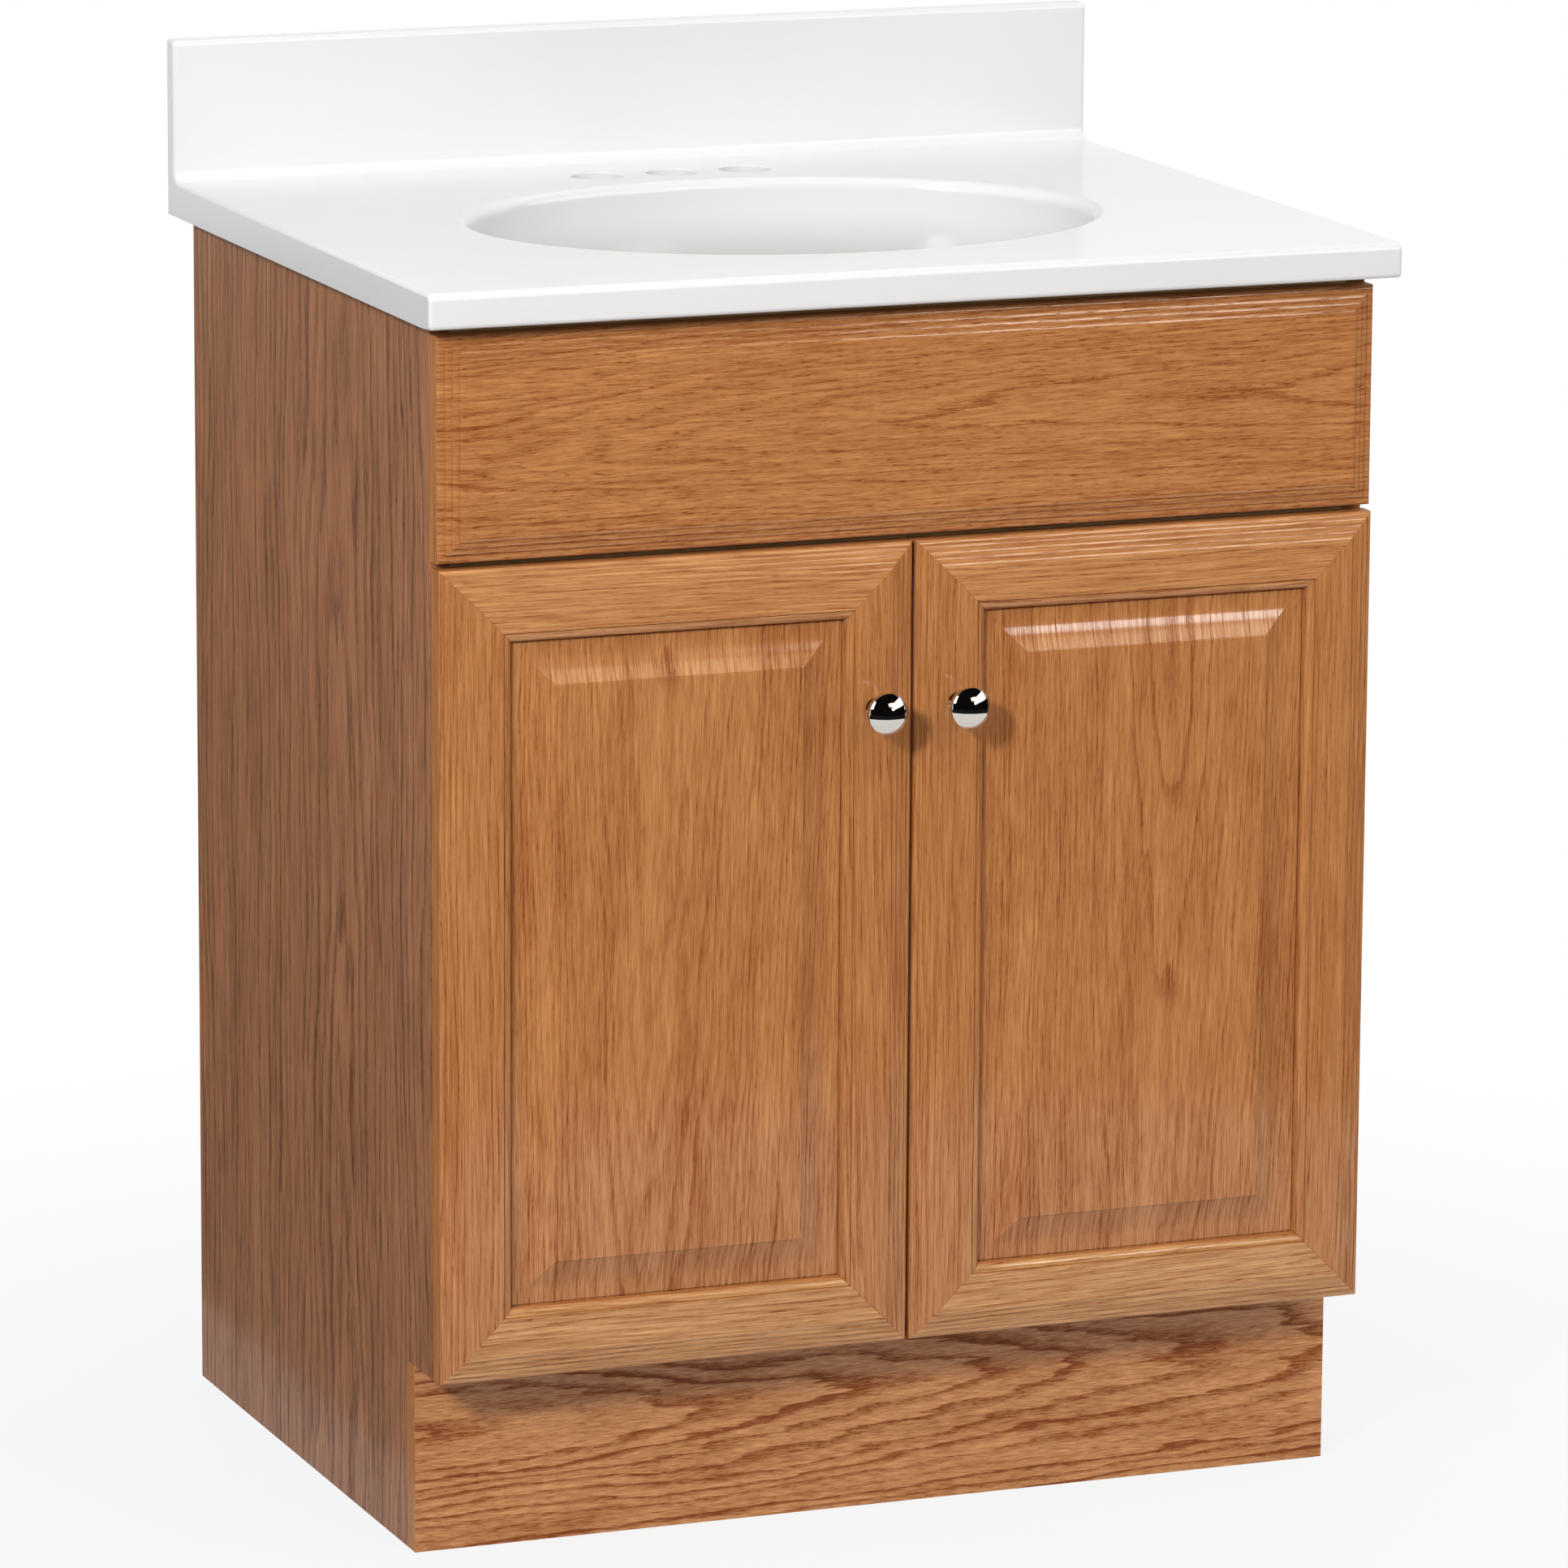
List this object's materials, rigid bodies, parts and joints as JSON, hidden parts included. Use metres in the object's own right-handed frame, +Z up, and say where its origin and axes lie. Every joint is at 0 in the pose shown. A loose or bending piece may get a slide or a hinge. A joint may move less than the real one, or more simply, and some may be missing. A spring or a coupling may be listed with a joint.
{
  "type": "bathroom vanity cabinet",
  "caption": "Oak bathroom vanity cabinet with raised-panel doors on concealed hinges, a false front, a recessed toe kick and a white one-piece basin top.",
  "frame": {"origin": "on the floor, in the middle of the overall width and of the overall depth from the knob tips to the back of the top", "axes": "+Z up, +X to the right as seen by someone facing the doors, the doors face -Y"},
  "size_m": [0.631, 0.5254, 0.8785],
  "materials": {
    "oak_front": "satin lacquer over stained oak",
    "oak_side": "satin printed oak grain",
    "oak_toe_kick": "satin lacquer over stained oak",
    "lined_board": "matt lining on board",
    "plain_wood": "plain sanded wood",
    "dowel_wood": "plain wood",
    "cast_marble": "gloss gel coat",
    "polished_nickel": "polished",
    "hinge_steel": "nickel plated",
    "zinc_screw": "zinc plated",
    "bumper": "soft clear"
  },
  "bodies": {
    "cabinet": {"left_side_panel": "oak_side", "right_side_panel": "oak_side", "bottom_panel": "lined_board", "toe_kick": "oak_toe_kick", "front_top_rail": "plain_wood", "front_mid_rail": "plain_wood", "back_top_rail": "plain_wood", "back_bottom_rail": "plain_wood", "rail_dowels": "dowel_wood", "corner_blocks": "plain_wood", "false_front": "oak_front", "false_front_screws": "zinc_screw", "vanity_top": "cast_marble", "left_hinge_arms": "hinge_steel", "left_hinge_plates": "hinge_steel", "left_hinge_plate_screws": "zinc_screw", "left_hinge_arm_screws": "zinc_screw", "right_hinge_arms": "hinge_steel", "right_hinge_plates": "hinge_steel", "right_hinge_plate_screws": "zinc_screw", "right_hinge_arm_screws": "zinc_screw"},
    "left_door": {"left_door_top_rail": "oak_front", "left_door_bottom_rail": "oak_front", "left_door_hinge_stile": "oak_front", "left_door_knob_stile": "oak_front", "left_door_panel": "oak_front", "left_door_dowels": "dowel_wood", "left_hinge_cups": "hinge_steel", "left_hinge_pins": "hinge_steel", "left_hinge_cup_screws": "zinc_screw", "left_knob": "polished_nickel", "left_knob_screw": "zinc_screw", "left_door_bumpers": "bumper"},
    "right_door": {"right_door_top_rail": "oak_front", "right_door_bottom_rail": "oak_front", "right_door_hinge_stile": "oak_front", "right_door_knob_stile": "oak_front", "right_door_panel": "oak_front", "right_door_dowels": "dowel_wood", "right_hinge_cups": "hinge_steel", "right_hinge_pins": "hinge_steel", "right_hinge_cup_screws": "zinc_screw", "right_knob": "polished_nickel", "right_knob_screw": "zinc_screw", "right_door_bumpers": "bumper"}
  },
  "joints": [
    {"name": "left_door_swing", "type": "hinge", "parent": "cabinet", "child": "left_door", "pos_m": [-0.2976, -0.22415, 0.3688], "axis": [0, 0, -1], "range_deg": [0, 95]},
    {"name": "right_door_swing", "type": "hinge", "parent": "cabinet", "child": "right_door", "pos_m": [0.2976, -0.22415, 0.3688], "axis": [0, 0, 1], "range_deg": [0, 95]}
  ]
}
